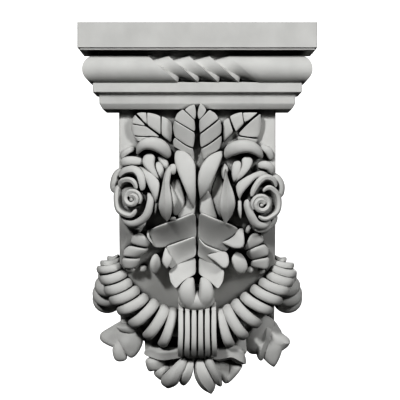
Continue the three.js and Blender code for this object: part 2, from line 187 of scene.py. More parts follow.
class Forms:
    """Raw closed forms, each a mesh of its own, gathered in one collection."""

    def __init__(self, name):
        self.name = name
        self.pool = bpy.data.collections.new(name)
        bpy.context.scene.collection.children.link(self.pool)

    def skin(self, rings, start, end):
        """Closes rows of rings, each with the same number of points, with a pole at either end."""
        rings = np.asarray(rings)
        rows, count = rings.shape[:2]
        points = np.concatenate(([start], rings.reshape(-1, 3), [end]))
        k = np.arange(count)
        after = (k + 1) % count
        last = 1 + (rows - 1) * count
        first_pole, last_pole = 0 * k, 0 * k + len(points) - 1
        faces = [
            np.stack((first_pole, 1 + after, 1 + k), axis=1),
            np.stack((last_pole, last + k, last + after), axis=1),
        ]
        for r in range(rows - 1):
            low, high = 1 + r * count, 1 + (r + 1) * count
            faces.append(np.stack((low + k, low + after, high + after), axis=1))
            faces.append(np.stack((low + k, high + after, high + k), axis=1))
        faces = np.concatenate(faces)
        corner = points[faces] - points.mean(axis=0)
        if np.einsum("ij,ij->i", corner[:, 0], np.cross(corner[:, 1], corner[:, 2])).sum() < 0:
            faces = faces[:, ::-1]
        mesh = bpy.data.meshes.new(self.name)
        mesh.from_pydata(points.tolist(), [], faces.tolist())
        mesh.update()
        thing = bpy.data.objects.new(self.name, mesh)
        self.pool.objects.link(thing)
        return thing


def rings_across(centres, across, normals, half, face, back, shape):
    """Rings across a form: a rounded face, with a rounded back or a stem that runs into the bracket."""
    sides = shape.get("sides", 14)
    square = shape.get("square", 2)
    keel_breadth = 1.6
    half3, face3 = half[:, None, None], face[:, None, None]

    def section(angles):
        return power(np.cos(angles), square)[None, :, None], power(np.sin(angles), square)[None, :, None]

    a, b = section(np.pi * np.arange(sides) / (sides - 1))
    ratio = face3 / np.maximum(face3.max(), 1e-9)
    rise = face3 * b + shape.get("lip", 0) * half3 * np.clip(a, 0, 1) ** 2
    rise = rise + shape.get("keel", 0) * ratio * SQUARE_X * np.clip(1 - np.abs(a) * keel_breadth, 0, 1)
    front = centres[:, None] + across[:, None] * half3 * a + normals[:, None] * rise
    if shape.get("rooted", True):
        feet = []
        for side in (-1, 1):
            foot = centres + across * (side * STEM * half)[:, None]
            down = (BODY_TOP - foot[:, 2]) / SQUARE_Z
            wall = -(front_at(down) - SEAT) * SQUARE_Y
            foot[:, 1] = np.maximum(foot[:, 1] + MILLIMETRE, np.minimum(wall, 0))
            feet.append(foot[:, None])
        return np.concatenate([front] + feet, axis=1)
    a, b = section(np.pi + np.pi * np.arange(1, sides - 1) / (sides - 1))
    rear = centres[:, None] + across[:, None] * half3 * a + normals[:, None] * back[:, None, None] * b
    return np.concatenate((front, rear), axis=1)


def stroke(forms, points, width, face, rows=18, blunt=2.5, back=None, **shape):
    """A form laid along a curve. width is half its breadth, face its bulge and back the bulge behind, in squares, each
    one value or a row of values from end to end. blunt squares its ends and square its section."""
    swing, t = swings(rows)
    along = tangents(points, t)
    across = unit(np.cross(along, FORWARD))
    normals = unit(np.cross(across, along))
    scale = SQUARE_X * rounded(swing, blunt)
    half, bulge, behind = (through(size, t) * scale for size in (width, face, face if back is None else back))
    rings = rings_across(through(points, t), across, normals, half, bulge, behind, shape)
    forms.skin(rings, points[0], points[-1])


def blade(forms, edge_a, edge_b, face=3, bulge=0, rows=15, swell=0, round_=9, blunt=5, back=None, **shape):
    """A form between two edges that start and end near each other, as a leaf's pad or a petal. face is its bulge,
    bulge how far its end rounds out past the edges and swell how far its sides do, in squares. round_ and blunt square
    the ends of its breadth and of its face, lip lifts its second edge and keel its middle."""
    swing, t = swings(rows)
    a, b = through(edge_a, t), through(edge_b, t)
    middle = (a + b) / 2
    way = unit(middle[-1] - middle[0])
    middle = middle + (t**5)[:, None] * way * bulge * SQUARE_X * 0.75
    across = b - a
    half = np.linalg.norm(across, axis=1) / 2 + swell * SQUARE_X
    half = half * (1 - np.abs(swing) ** round_) ** 0.5
    across = unit(across)
    normals = unit(np.cross(across, unit(np.gradient(middle, axis=0))))
    normals[normals[:, 1] > 0] *= -1
    end = (1 - np.abs(swing) ** blunt) ** 0.5
    front, behind = (through(size, t) * SQUARE_X * end for size in (face, face if back is None else back))
    shape = {"square": 4, "sides": 13, **shape}
    rings = rings_across(middle, across, normals, half, front, behind, shape)
    forms.skin(rings, (edge_a[0] + edge_b[0]) / 2, (edge_a[-1] + edge_b[-1]) / 2 + way * bulge * SQUARE_X)


def disc(forms, inner, outer, thick, depth):
    """One turn of the swag: a rounded disc seen on edge between two points, its rim drawn back at both ends."""
    rows, sides, blunt, sag = 11, 22, 2.3, 1.5
    centre = (inner + outer) / 2
    u = unit(outer - inner)
    n = unit(np.cross(u, FORWARD))
    if n[2] > 0:
        n = -n
    half = np.linalg.norm(outer - inner) / 2
    angles = 2 * np.pi * np.arange(sides) / sides
    c, s = np.cos(angles)[:, None], np.sin(angles)[:, None]
    rings = []
    for swing in -swings(rows)[0]:
        inset = 0.85 * thick * SQUARE_X * (1 - rounded(swing, blunt))
        along, forth = power(c, 2.5), power(s, 2.5)
        ring = centre + u * (half - inset) * along + FORWARD * (depth * SQUARE_X - inset) * forth
        rings.append(ring + n * (swing * thick - sag * c * c) * SQUARE_X)
    pole = n * thick * SQUARE_X
    forms.skin(rings, centre - pole, centre + pole)


# Section of a petal as shares out and up: below the fold of its inward reach and its depth, past it of its curl.
PETAL_BELOW = ((1, 1), (0.62, 0.62), (0.25, 0.22), (0, 0))
PETAL_PAST = ((0.55, 0.12), (0.95, 0.6), (1.05, 1.15))


def petal(forms, rim, centre, axis, inward, depth, curl, thickness, rows=30):
    """A thin petal that stands on its base and folds outward at its rim. rim is the line of the fold; inward and depth
    say where its base lies from there, and curl how far the lip turns over, all in squares."""
    t = (1 - np.cos(np.pi * np.arange(1, rows + 1) / (rows + 1))) / 2
    end = (1 - np.abs(2 * t - 1) ** 4) ** 0.5
    ridge = through(rim, t)
    outward = unit(np.cross(tangents(rim, t), axis))
    if np.sum((ridge - centre) * outward) < 0:
        outward = -outward
    inward = inward * end
    depth = depth * (0.35 + 0.65 * end)
    curl = curl * end
    side = np.stack([-f * inward for f, _ in PETAL_BELOW] + [f * curl for f, _ in PETAL_PAST], axis=1)
    height = np.stack([-f * depth for _, f in PETAL_BELOW] + [-f * curl for _, f in PETAL_PAST], axis=1)
    steps = np.linspace(0, 1, 13)
    rings = []
    for i in range(rows):
        line = through(np.stack((side[i], height[i]), axis=1), steps) * SQUARE_X
        way = np.gradient(line, axis=0)
        normal = unit(np.stack((-way[:, 1], way[:, 0]), axis=1))
        taper = thickness / 2 * SQUARE_X * (1 - np.abs(2 * steps - 1) ** 6 * 0.65) * (0.4 + 0.6 * end[i])
        loop = np.concatenate((line + normal * taper[:, None], (line - normal * taper[:, None])[::-1]))
        rings.append(ridge[i] + outward[i] * loop[:, :1] + axis * loop[:, 1:])
    forms.skin(rings, np.mean(rings[0], axis=0), np.mean(rings[-1], axis=0))


def wound(forms, points, turns, radius, fatness):
    """A rope wound with broad turns: one rounded disc for each."""
    fine = np.linspace(0, 1, 200)
    steps = np.linalg.norm(np.diff(through(points, fine), axis=0), axis=1)
    reached = np.concatenate(([0], np.cumsum(steps)))
    pitch = reached[-1] / turns
    for i in range(turns):
        t = np.interp((i + 0.5) * pitch, reached, fine)
        centre = through(points, [t])[0]
        half = tangents(points, np.array([t]))[0] * pitch * fatness
        size = through(radius, [i / (turns - 1)])[0]
        line = np.array((centre - half, centre, centre + half))
        stroke(forms, line, size, size, rows=10, blunt=2.4, rooted=False, sides=12)


class CapSizes(bpy.types.PropertyGroup):
    slab: bpy.props.FloatProperty(name="Slab", description="Height of the top slab", default=25.5)
    lip: bpy.props.FloatProperty(name="Lip", description="Height of the lip under the slab", default=2.5)
    quirk: bpy.props.FloatProperty(name="Quirk", description="Height of the gap over the roll", default=4.5)
    roll: bpy.props.FloatProperty(name="Roll", description="Radius of the roll", default=14.0)
    table: bpy.props.FloatProperty(name="Table", description="Height of the flat member under the roll", default=9.5)
    cove: bpy.props.FloatProperty(name="Cove", description="Height of the cove", default=5.5)
    necking: bpy.props.FloatProperty(name="Necking", description="Height of the lowest flat member", default=5.5)
    fall: bpy.props.FloatProperty(name="Fall", description="Height of the slope onto the bracket", default=6.0)
    twist_depth: bpy.props.FloatProperty(name="Twist depth", description="Depth of the roll's cuts", default=5.5)
    twist_cuts: bpy.props.IntProperty(name="Twist cuts", description="Cuts in the roll", default=4, min=0)


class CarvingSizes(bpy.types.PropertyGroup):
    petal: bpy.props.FloatProperty(name="Petal", description="Thickness of a rose petal", default=3.9)
    ribs: bpy.props.IntProperty(name="Ribs", description="Ribs of the swag's tie", default=6, min=2)


class PlasterFinish(bpy.types.PropertyGroup):
    colour: bpy.props.FloatVectorProperty(
        name="Colour", description="Colour of the plaster", subtype="COLOR", size=3, default=(0.57, 0.57, 0.556)
    )
    roughness: bpy.props.FloatProperty(name="Roughness", description="Roughness of the plaster", default=0.72)


class StudioSettings(bpy.types.PropertyGroup):
    distance: bpy.props.FloatProperty(
        name="Distance", description="From the wall to the camera", default=4.5, subtype="DISTANCE"
    )
    key: bpy.props.FloatProperty(name="Key", description="Power of the key light", default=190.0, subtype="POWER")
    fill: bpy.props.FloatProperty(name="Fill", description="Power of the fill light", default=135.0, subtype="POWER")
    behind: bpy.props.FloatProperty(name="Behind", description="Power of the back light", default=24.0, subtype="POWER")
    sky: bpy.props.FloatProperty(name="Sky", description="Strength of the light from all round", default=0.006)


class CorbelSettings(bpy.types.PropertyGroup):
    cap: bpy.props.PointerProperty(type=CapSizes)
    carving: bpy.props.PointerProperty(type=CarvingSizes)
    finish: bpy.props.PointerProperty(type=PlasterFinish)
    studio: bpy.props.PointerProperty(type=StudioSettings)


def settings():
    return bpy.context.scene.corbel


# How far each member of the cap stands out past the bracket, in squares.
SLAB_REACH = 41
LIP_REACH = 39
ROLL_REACH = 36.5
QUIRK_REACH = 21
TABLE_REACH = 26
COVE_DEPTH = 6.5
FALL_REACH = 16


def cap_rows(sizes):
    """Outline of the cap from its top down, as rows of reach past the bracket and squares down from the top."""
    lip_down = sizes.slab + sizes.lip
    rows = [(SLAB_REACH, 0), (SLAB_REACH, sizes.slab), (LIP_REACH, sizes.slab), (LIP_REACH, lip_down)]
    table_down = lip_down + sizes.quirk + 2 * sizes.roll - 1
    rows += [(QUIRK_REACH, lip_down), (QUIRK_REACH, table_down), (TABLE_REACH, table_down)]
    cove_down = table_down + 1 + sizes.table
    rows.append((TABLE_REACH, cove_down))
    steps = 6
    for i in range(1, steps + 1):
        angle = math.pi / 2 * i / steps
        rows.append((TABLE_REACH - COVE_DEPTH * math.sin(angle), cove_down + sizes.cove * (1 - math.cos(angle))))
    neck_down = cove_down + sizes.cove + sizes.necking
    return rows + [(TABLE_REACH - COVE_DEPTH, neck_down), (FALL_REACH, neck_down + sizes.fall)]


def box_rings(rows):
    rings = []
    for reach, down in rows:
        x, out = BODY_HALF + reach, BODY_DEEP + reach
        corners = ((-x, 0), (-x, out), (x, out), (x, 0))
        rings.append([at(across, down - CAP_SQUARES, depth) for across, depth in corners])
    return rings


def applied(thing):
    """Replaces a thing's mesh with the one its modifiers make."""
    graph = bpy.context.evaluated_depsgraph_get()
    mesh = bpy.data.meshes.new_from_object(thing.evaluated_get(graph))
    old = thing.data
    thing.modifiers.clear()
    thing.data = mesh
    bpy.data.meshes.remove(old)


def bevelled(thing, width, angle=30):
    arris = thing.modifiers.new("arris", "BEVEL")
    arris.width = width
    arris.segments = 2
    arris.limit_method = "ANGLE"
    arris.angle_limit = math.radians(angle)
    applied(thing)


class CORBEL_OT_bracket(bpy.types.Operator):
    """Makes the plain bracket and the square members of its cap"""

    bl_idname = "corbel.bracket"
    bl_label = "Bracket and cap"

    def execute(self, context):
        forms = Forms("plain")
        rows = cap_rows(settings().cap)
        half_deep, in_cap = BODY_DEEP / 2, -6
        top, foot = (at(0, down - CAP_SQUARES, half_deep) for down in (rows[0][1], rows[-1][1]))
        bevelled(forms.skin(box_rings(rows), top, foot), 0.9 * MILLIMETRE)
        profile = through(FRONT_LINE, np.linspace(0, 1, 60))
        profile[:, 1] = np.maximum(profile[:, 1], 0)
        outline = [(in_cap, BODY_DEEP), *profile, (in_cap, 0)]
        ring = [[at(x, down, out) for down, out in outline] for x in (-BODY_HALF, BODY_HALF)]
        block = forms.skin(ring, at(-BODY_HALF, 100, 70), at(BODY_HALF, 100, 70))
        bevelled(block, 1.5 * MILLIMETRE, 50)
        return {"FINISHED"}


class CORBEL_OT_roll(bpy.types.Operator):
    """Makes the roll round the cap, twisted in the middle of its front"""

    bl_idname = "corbel.roll"
    bl_label = "Twisted roll"

    # Where the twist starts across the front, the step from cut to cut and how far each cut leans, in squares.
    start = -34.5
    pitch = 20.4
    lean = 15.5
    # Where each turn of the twist is cut into columns, as shares of the pitch.
    shares = (-0.015, 0.03, 0.09, 0.2, 0.35, 0.5, 0.65, 0.8, 0.93)

    def cut(self, x, sizes):
        """How deep the twist is cut at x: each cut drops at once and then climbs to the next."""
        turn = (x - self.start) / self.pitch
        if turn < -0.02 or turn >= sizes.twist_cuts:
            return 0.0
        part = turn - math.floor(turn)
        lead = min(part / 0.09, 1.0) if part < 0.5 else 1.0
        return sizes.twist_depth * lead * (1 - part**1.3)

    def execute(self, context):
        sizes = settings().cap
        sides = 48
        centre_down = sizes.slab + sizes.lip + sizes.quirk + sizes.roll - CAP_SQUARES
        reach = ROLL_REACH - sizes.roll
        corner_x, corner_out = BODY_HALF + reach, BODY_DEEP + reach
        angles = 2 * np.pi * np.arange(sides) / sides
        turns = list(zip(np.cos(angles), np.sin(angles)))

        def end(side):
            return [at(side * (corner_x + sizes.roll * a), centre_down - sizes.roll * b, 0) for a, b in turns]

        def corner(side):
            ring = []
            for a, b in turns:
                out = sizes.roll * a
                ring.append(at(side * (corner_x + out), centre_down - sizes.roll * b, corner_out + out))
            return ring

        def column(x):
            ring = []
            for a, b in turns:
                front = float(np.clip((a + 0.6) / 0.8, 0, 1))
                radius = sizes.roll - front * self.cut(x, sizes)
                ring.append(at(x - front * self.lean * b, centre_down - radius * b, corner_out + radius * a))
            return ring

        columns = [-80, -60, -45, -36]
        columns += [self.start + (i + share) * self.pitch for i in range(sizes.twist_cuts) for share in self.shares]
        columns += [self.start + sizes.twist_cuts * self.pitch - 0.3, 56, 70, 85]
        rings = [end(-1), corner(-1)] + [column(x) for x in columns] + [corner(1), end(1)]
        Forms("roll").skin(rings, at(-corner_x, centre_down, 0), at(corner_x, centre_down, 0))
        return {"FINISHED"}


class CORBEL_OT_leaves(bpy.types.Operator):
    """Makes the three leaves under the cap"""

    bl_idname = "corbel.leaves"
    bl_label = "Leaves under the cap"

    # Each pad as its two edges, from the midrib to the margin, and how far it rounds out there.
    middle = table("""
    -1.9 9,-1.7 2,-3 -4.5/-2.3 10,-7 5,-12 0.5/1.5;
    -2.3 11.7,-8 6.2,-14 0.9/-1.9 21.8,-11 16.4,-21.5 10.3/3;
    -2.1 24,-11 18.2,-22 11.8/-3.4 37.8,-11.7 33.8,-22 26.6/3;
    -3.7 39.9,-12 35.9,-22 28.5/-2.6 52,-14 41.5,-23.5 36/2;
    1 9.5,0.8 2,3 -5/1.6 10,5.5 5.5,8.5 1/2;
    1.6 11.8,6 7,12 1.2/2 23.3,11 16.3,20.5 8.6/2;
    2.3 25.7,12 18.3,22 10.5/2.9 37.8,13 31.6,23.5 23.3/2;
    3.3 40.3,13 34.4,24 26.3/5.7 50,12.7 45,22.4 38.4/1.5;
    """)
    left = table("""
    -53 15.2,-58 10.4,-62 6/-53 15.7,-59 14.5,-65 13.6/2;
    -52 13.8,-56 8.8,-60.5 4.2/-51.2 14.6,-51.3 9,-51.4 3.4/1.5;
    -50 16,-50.2 9,-50 3.2/-37.6 25.5,-37.4 16,-37.7 6.5/1;
    -35.8 26.5,-36 16,-35.6 6.8/-27 34,-25.8 22,-26.6 12.5/1;
    -39 26.1,-50 18.3,-54 16.9,-65.5 15.2/-38.5 26.6,-47 26,-56 25.8,-64 25.2/2;
    -47 27.6,-55 27.4,-63 27/-45 30,-54 30.8,-60 31/1.5;
    """)
    right = table("""
    48 13,46.8 8,46 3.2/49.5 12,55 7.6,60.5 3/0.8;
    39.3 22,36 14,33.2 6.8/46.6 14.8,45.6 9,44.8 2.8/1.2;
    27 32.5,26.5 22,27.3 11/36 22.8,34 16,31.6 9/1;
    41.8 24,51.5 14,62 4.4/42.2 24.8,50 26.4,60 28/4;
    40.5 27,50 28.2,60.5 30.2/40.5 30.5,50 31.2,59 33/1;
    """)

    def execute(self, context):
        forms = Forms("leaves")

        def middle_depth(across, down):
            return np.interp(down, (-5, 15, 38, 54), (176, 173, 164, 155)) - 5 * (across / 25) ** 2

        def side_depth(across, down):
            return np.interp(down, (0, 20, 36), (162, 161, 155)) - 0.006 * (abs(across) - 48) ** 2

        for pads, depth in ((self.middle, middle_depth), (self.left, side_depth), (self.right, side_depth)):
            blades(forms, pads, ("bulge",), depth, face=2.4, square=9, swell=0.55, sides=17, round_=24)
        return {"FINISHED"}


class CORBEL_OT_petals(bpy.types.Operator):
    """Makes the rolled petals, sepals and buds between the leaves and the roses"""

    bl_idname = "corbel.petals"
    bl_label = "Petals and buds"

    # Each roll as its line, the breadths along it, and its bulge.
    rolls = table("""
    -60.3 44 157,-56.3 37 163,-49.3 34.2 166,-40.3 35.5 166,-33.3 40.5 163,-28.5 48 157/2.5,5,6.3,7.2,6.8,5/7;
    28.7 48 157,33.7 41 163,42.7 37.5 166,52.7 37.5 166,60.2 41.5 163,64.7 47.5 157/4,7,7,6.5,5.5,3.5/7;
    -76.3 49 153,-72 43 156,-63 39 156/3.5/4;
    -77 54 155,-68 51.5 159,-53 53 158/4.8/5;
    63 37.5 156,71.2 41.5 156,75 50 152/4.2/4;
    60.7 56 160,68.7 56 160,73.5 59 157,73 65 153/4.6/5;
    -24.5 56 164,-24.3 60 167,-25.3 65 165/3.6/4;
    -24.8 108 157,-24.6 112 158/3.4/4;
    -73 64 152,-60 58 152/4/4;
    """)
    # Each blade as its two edges, its bulge and the ridge along its middle: the two sepals; the left bud with its
    # lobe and the right bud with its own; the leaves behind the buds; the calyx under each sepal; then the hearts.
    blades = table("""
    -20.5 40.5 157,-23 46 162,-22.5 54 166,-19 65 169,-13.5 78 170,-9 89 166,-4 99.5 158/-18 40.5 157,
    -9 45 163,-2.7 53 168,-1.4 63 170,-1.5 75 170,-1.7 88 165,-3.2 99.5 158/4/0;
    25 41.3 157,17.7 43.6 162,9.8 48.4 167,4.4 55.7 170,0.9 65 171,0.4 76 169,2 90 160/25.5 42 157,25 47 160,
    23.5 52 164,20 61 167,15.3 71 168,10.5 81 165,3 90 160/4/0;
    -27 54 162,-32 63 168,-34 71 171,-36 80 174,-38 90 175,-39 97 174,-36.4 105.6 168,-31 111.4 160/-25 56 162,
    -25.8 63 170,-27 70 173,-27.6 77 174,-25.6 88 176,-25.2 98 174,-26.6 107 167,-29 111.8 160/4/2.5;
    -29 75 168,-28 84 171,-26.6 92 172,-26 101 167/-27 75 168,-23 84 170,-20 92 170,-23 101 166/3.5/1;
    28.4 60 160,26.8 70.4 166,24.4 81.3 170,22.5 92.2 171,22.5 100 169,24.6 107.5 164,27 115.4 157/29 60 160,
    31.6 71 166,35.3 80 170,37.9 89.5 171,38 96.5 169,35 105.5 163,28 115.4 157/3.5/3.5;
    26 54 154,23.4 61 157,25 70 156/28 54 154,31.6 61 157,29 71 156/3/1;
    -24 62 153,-28 75 158,-27 90 160,-26 106 157/-20 64 153,-14.6 80 158,-12.6 94 159,-20 108 155/4/0;
    21 62 150,14.6 79 150,14 95 150,21 110 150/25 63 150,27 79 152,27 95 152,27 111 150/3/0;
    -10 82 152,-15.4 92 155,-19.8 102 156,-21 112 154/-2.8 86 150,-2.3 98 151,-4 107 151,-12 115.6 151/4/0;
    2.6 84 152,1.6 95 151,4.2 106 151,14 115.4 151/10 79 154,14.6 88 155,18 100 156,22.4 113.6 154/4/0;
    -51 44.6 159,-55 50 162,-54 57 165,-45 66.4 166,-36.6 73.4 161/-46 43.4 159,-42.4 48 163,-43 56 165,
    -40.2 65 165,-36 73.4 161/4/0;
    -43 53 158,-42.6 59 163,-40 66 164,-36 73 160/-38.5 52 158,-34.6 58 161,-33.4 66 161,-35 73 159/3.5/0;
    -42 43 154,-40 51 156,-36 60 156,-33.6 70 153/-37 43 154,-28.6 53 156,-29 61 156,-32.6 70 153/3/0;
    48.5 46 158,44.6 50.5 161,44.4 57 163,40 66.5 164,36.4 74 159/52.5 46.5 158,55.8 52 160,52.6 60 162,
    46 66.8 162,37 74 159/3.5/0;
    39.5 52.5 158,35.4 56 161,34.4 66 163,36.2 74 159/43 52.5 158,44.6 56 162,42 66 163,36.8 74 159/3.5/0;
    """)

    def execute(self, context):
        forms = Forms("petals")
        for line, width, face in self.rolls:
            stroke(forms, placed(line), width, face, blunt=3, square=2.5)
        blades(forms, self.blades, ("face", "keel"), square=3, rows=20, blunt=3, sides=17)
        return {"FINISHED"}


class CORBEL_OT_roses(bpy.types.Operator):
    """Makes the two roses, each a bed of petals round a coiled bud"""

    bl_idname = "corbel.roses"
    bl_label = "Roses"

    # Each petal's fold line as squares outwards from the eye and up from it, with its depth from the wall; then how far
    # inward and down its base lies, and the curl of its lip.
    left = table("""
    8 30 156,14 24 157,16.5 15 157,15.5 7 156/5/12/4.5;
    -17.5 7 162,-18 -1 164,-14.5 -13 164,-8 -20 162,1 -22.5 160,9 -18.5 157/4/16/4;
    12 23 160,6 28 163,-2 29 165,-7 25 166,-9.5 17 166,-10.5 9 164/7/18/4;
    12 13 162,9.5 18 165,3 19.7 167,-2 17.5 168,-5.5 10.5 166/4/20/1.8;
    11.8 15 161,14.3 8.5 163,14 -5 165,10.5 -11.8 166,1 -15.3 166,-5.5 -9.5 165/5/20/2;
    """)
    right = table("""
    8 28 156,14 27 158,18 21 158,18 14 157,16 8 156/5/12/4;
    -15.5 6 162,-12 -2 164,-8.5 -10.5 164,-4 -17 162,2.5 -18.5 160,8 -14 157/3.5/16/4.5;
    -10.6 8.5 163,-7 16.8 165,-2 24 166,4 27.5 166,11 25 164,14 18 161/6/18/2.5;
    0.5 14 165,7 17.5 167,14 12.5 166,16.7 4.6 165,15.5 -5 165,10.5 -10 165,3.4 -13.4 165,-4 -11 164/4/20/1.8;
    """)
    # Loose petals as their two edges, on the same two axes, and their bulge.
    left_blades = table("""
    -5 33 155,-10 29 159,-13.2 24 162,-16.8 14.7 164,-21.7 4 163,-24 -4 158/-8 34 154,-17 29.5 158,
    -27 20.5 161,-29.3 14 162,-28.3 4 161,-25 -4 158/3.5;
    -22.6 3 157,-21.9 -5 157,-23.5 -15 154/-27.5 3 156,-27.6 -5 156,-25 -15 154/3;
    8 -13 152,2 -20 153,-6 -24 154,-14 -22 153/12 -15 149,4 -25 150,-8 -30 151,-16 -24 151/4;
    """)
    right_blades = table("""
    9 31 156,0 34.6 159,-7 33 161,-18 27.6 162,-26 21 160,-25.5 12 160,-22.8 5 158/6 28.5 158,-1 28 162,
    -7 26 164,-12.5 20.5 165,-18.5 13.5 164,-21 9 161,-22.3 5 158/3.5;
    -25.4 6 156,-25 -4 156,-22.5 -13.5 154/-20.8 6 157,-20.4 -4 157,-21.2 -13.5 154/3;
    12 -9 154,8 -16 155,1 -20 156,-7 -20 156/16 -10 150,12 -19 151,3 -27 151,-8 -27 152/4;
    """)
    # Each rose's side, the squares across and down to its eye, and its coil's turns, first radius and last radius.
    roses = (
        (-1, -66.7, 90.7, left, left_blades, 1.5, 8.6, 2.4),
        (1, 65.3, 96.3, right, right_blades, 1.6, 9.2, 2.8),
    )
    coil_start = 215
    coil_points = 15
    # How far the roses lean back to the bracket's sides, in squares of depth for each square outwards.
    fall = 0.3

    def execute(self, context):
        thickness = settings().carving.petal
        forms = Forms("roses")
        for side, across, down, petals, blades, turns, first, last in self.roses:

            def spot(out, up, depth):
                return at(across + side * out, down - up, depth - self.fall * out)

            centre = spot(0, 0, 150)
            axis = unit(np.array((side * 0.3, -1.0, 0.05)))
            stroke(forms, np.array((spot(-17, 0, 153), spot(12, 0, 155))), 19, 4)
            for rows, inward, depth, curl in petals:
                petal(forms, np.array([spot(*row) for row in rows]), centre, axis, inward, depth, curl, thickness)
            for edge_a, edge_b, face in blades:
                edges = ([spot(*row) for row in edge] for edge in (edge_a, edge_b))
                blade(forms, *edges, face, square=2.4, rows=18, blunt=3)
            coil = []
            for f in np.arange(self.coil_points) / (self.coil_points - 1):
                angle = math.radians(self.coil_start - 360 * turns * f)
                radius = first + (last - first) * f
                coil.append(spot(radius * math.cos(angle) - 0.8, radius * math.sin(angle) + 0.8, 168 + 3 * f))
            petal(forms, np.array(coil), centre, axis, 0.8, 20, 1.4, 1.15 * thickness, rows=64)
            stroke(forms, np.array((spot(-1, 2.5, 168), spot(-0.6, -1.8, 168))), 2.4, 3)
        return {"FINISHED"}


class CORBEL_OT_long_leaf(bpy.types.Operator):
    """Makes the long leaf down the front, with its split curled tip, and the smaller leaves beside it"""

    bl_idname = "corbel.long_leaf"
    bl_label = "Long leaf"

    # Each lobe as its upper and lower edge, from the midrib out, how far it rounds out and how far its lip lifts.
    lobes = table("""
    -1.3 103 160,-19 110 159,-36 116 155,-49.5 121.4 148/-1.3 124 137,-6 128.6 134,-17 132.6 131,-34 135.4 131,
    -45 137 137/1.5/0.2;
    1.3 103 160,18 110 159,33 115.6 155,42 120.6 148/1.3 125 137,8 134 132,17 138 130,30 142 132/1/0.2;
    -1.2 127.5 140,-12 131.4 140,-22 135 139,-32 138.6 138/-1.3 145 127,-13 149.4 126,-22 153.8 127,
    -29 160 132/1/0.3;
    1.2 129 140,8 136.4 140,17 140.4 139,28 144.4 138/1.3 144.5 127,9 148.9 126,19 154.9 127,28 161.4 132/1/
    0.3;
    -1.3 149.4 125,-12 152.8 126,-21.5 157.4 129,-28.5 162.8 132/-1.6 165 123,-8 169.2 128,-15 173.6 133,
    -21.5 181 140/3/0.1;
    1.3 149.4 125,9 152.6 126,18 156.4 129,27 162.4 132/1.6 165 123,8 170 128,14 174.4 133,20.5 181.4 140/3/
    0.1;
    """)
    # The ends of the first two lobes of each side, which turn up and forward, with their bulge.
    tips = table("""
    -50 121 145,-50.6 128 147,-45 136.5 147/-48.5 121 146,-48 128 148,-44 135 147/2;
    25 134 142,32 131.5 144,37.5 127 146,41 121 147,45 118.5 147/25.5 135 143,32 138 148,39 140.2 151,
    47 137.5 152,47.6 122 149/3;
    -31.5 139 139,-29 145 141,-25.4 151 142,-30 160 142/-32.7 139.5 139,-35 147 143,-35.6 154 144,
    -31.5 161 142/3;
    9.5 147 135,17 145 138,25 143.2 140,31 143.6 141/10 148 136,18 153.6 142,27 160.4 146,33 156 146/3;
    """)
    # The two halves of the split curled tip.
    curl = table("""
    -4.6 169.5 127,-11 172.5 128,-18 179 129,-19.4 186 129,-15.5 194.5 127,-8 200.8 125,-0.8 202.6 124/
    -3.6 170 127,-2.6 174 129,-1.9 180 130,-1 187 130,-0.2 193 128,0.3 198 126,0.3 202.6 124;
    4.4 169.5 127,10 172 128,15.5 178 129,17 185 129,14.5 192.5 127,8 200.4 125,0.6 202.6 124/3.4 170 127,
    2.2 174 129,1.4 180 130,0.3 187 130,-0.4 193 128,-0.6 198 126,-0.4 202.6 124;
    """)
    # Pads of the smaller leaves on either side, then the knobs between them with half their breadth.
    pads = table("""
    -46 134.5 142,-53 127 144,-60 122.5 140/-48.5 138 138,-58 137 140,-67 134.8 136/3;
    -48 139.5 136,-58 138.8 138,-69 137 134/-58 147.6 128,-66 148 132,-74.5 147.6 132/3;
    -57.5 149.4 128,-66 149.8 130,-75.5 149.5 128/-60.5 154.5 122,-66 159.2 124,-74 159 124/2;
    -43 145.5 127,-46.6 151 130,-48 157 130,-45.5 164.5 126/-41.5 145.5 127,-37.6 151 130,-37 157 130,
    -41 165 126/1;
    47 138.5 138,53.5 126.5 144,61 124 140/47.5 141.5 136,57 137.6 138,66.6 133.5 136/3;
    48 143.5 134,58 139 138,67.3 135.6 134/53 150.6 126,63 148.6 130,71.5 146.6 130/3;
    54 152.2 126,63 150.2 129,72.3 148.6 127/54 156 121,62 159 124,70.5 161 124/2;
    39 142.6 128,34.6 150 131,35.5 158 130,42 165 124/42 143 128,48.5 151 130,50.4 159 128,45.5 165.4 124/1;
    """)
    knobs = table("""
    -60 118.6 146,-55.5 121 147/4;
    -55 157 118,-55 164 116/4.3;
    -73 161.6 112,-63 161.8 114/2.6;
    49 119.5 147,54 121.5 147/4.4;
    50.5 158.5 120,55.5 164 118/4.4;
    62 163 114,69 163 112/3.4;
    """)
    # The bed behind the tip, and the line across the ball of the tip.
    bed = table("-0.6 176 112, -0.8 200 112;")[0][0]
    ball = table("-19.8 192 125, -1 192.8 127, 17.4 192 125;")[0][0]

    def execute(self, context):
        forms = Forms("long_leaf")
        lobe = {"face": 2, "square": 6, "rows": 18, "swell": 0.6, "sides": 21, "round_": 20}
        blades(forms, self.lobes, ("bulge", "lip"), **lobe)
        blades(forms, self.tips, ("face",), square=3, rows=16, blunt=3)
        blades(forms, self.curl, (), face=(4, 11, 12, 9, 4), square=3.4, rows=22, blunt=2.6, sides=18)
        blades(forms, self.pads, ("bulge",), face=3.4, square=3.2, swell=0.5)
        for line, width in self.knobs:
            stroke(forms, placed(line), width, 4)
        stroke(forms, placed(self.bed), 12, 14)
        stroke(forms, placed(self.ball), 10.4, 11.2, blunt=2.1, rows=20)
        return {"FINISHED"}


